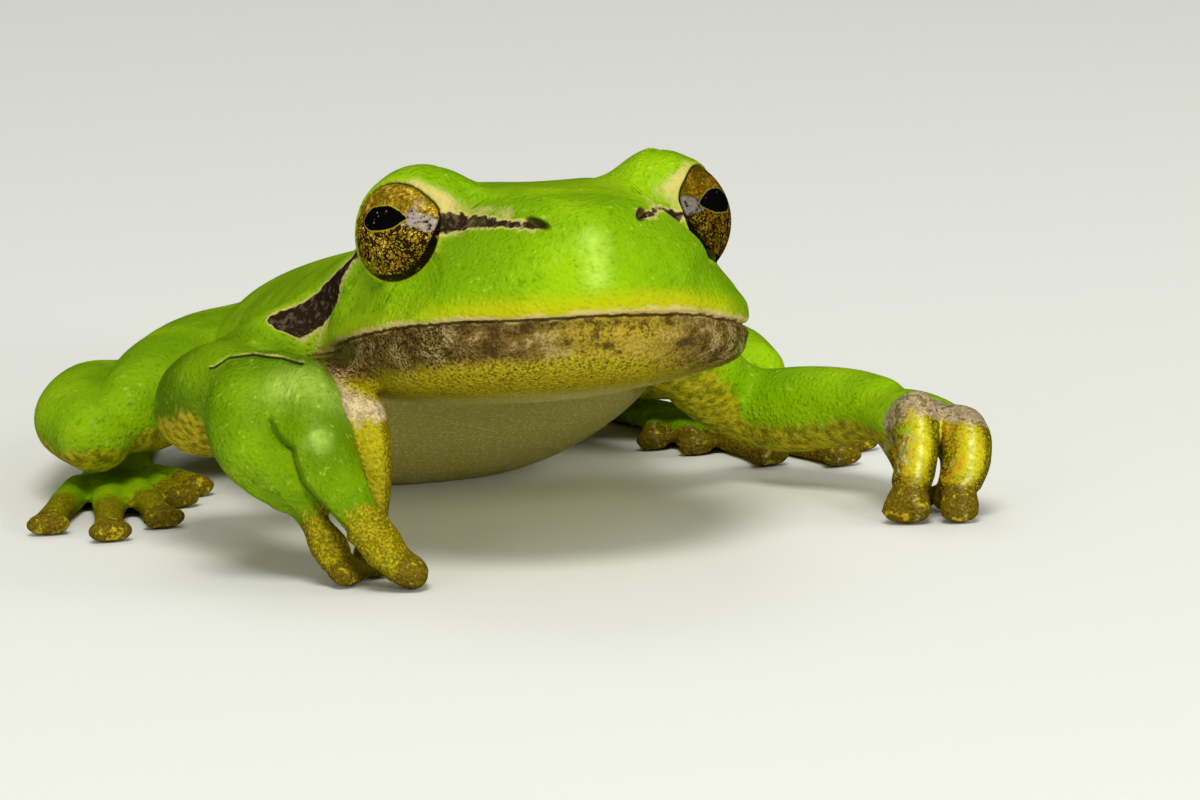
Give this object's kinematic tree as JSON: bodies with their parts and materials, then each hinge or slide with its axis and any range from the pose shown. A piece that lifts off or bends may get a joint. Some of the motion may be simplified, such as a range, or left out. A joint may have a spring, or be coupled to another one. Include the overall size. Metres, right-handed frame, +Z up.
{
  "type": "tree frog",
  "caption": "Life-size still model of a green European tree frog crouching with its head raised and both hands reaching forward onto the floor.",
  "frame": {"origin": "middle of the frog's box, on the floor that it rests on", "axes": "nose along -Y, the frog's left side along +X, +Z up; body length along Y"},
  "size_m": [0.0344, 0.0445, 0.0146],
  "materials": {
    "skin_back": "moist, finely granular green skin",
    "skin_limb": "moist, paler green skin",
    "skin_lip": "moist brown lip and golden throat",
    "skin_digit": "moist golden finger skin",
    "iris": "wet golden brown eye",
    "eardrum": "dark brown drum skin"
  },
  "bodies": {
    "root": {"head": "skin_back", "lower_jaw": "skin_lip", "trunk": "skin_back", "eye_right": "iris", "eye_left": "iris", "tympanum_right": "eardrum", "tympanum_left": "eardrum", "upper_arm_right": "skin_limb", "forearm_right": "skin_limb", "hand_right": "skin_limb", "thigh_right": "skin_limb", "shank_right": "skin_limb", "tarsus_right": "skin_limb", "foot_right": "skin_limb", "finger_1_right": "skin_digit", "finger_2_right": "skin_digit", "finger_3_right": "skin_digit", "finger_4_right": "skin_digit", "toe_1_right": "skin_digit", "toe_2_right": "skin_digit", "toe_3_right": "skin_digit", "toe_4_right": "skin_digit", "toe_5_right": "skin_digit", "upper_arm_left": "skin_limb", "forearm_left": "skin_limb", "hand_left": "skin_limb", "thigh_left": "skin_limb", "shank_left": "skin_limb", "tarsus_left": "skin_limb", "foot_left": "skin_limb", "finger_1_left": "skin_digit", "finger_2_left": "skin_digit", "finger_3_left": "skin_digit", "finger_4_left": "skin_digit", "toe_1_left": "skin_digit", "toe_2_left": "skin_digit", "toe_3_left": "skin_digit", "toe_4_left": "skin_digit", "toe_5_left": "skin_digit"}
  },
  "joints": []
}
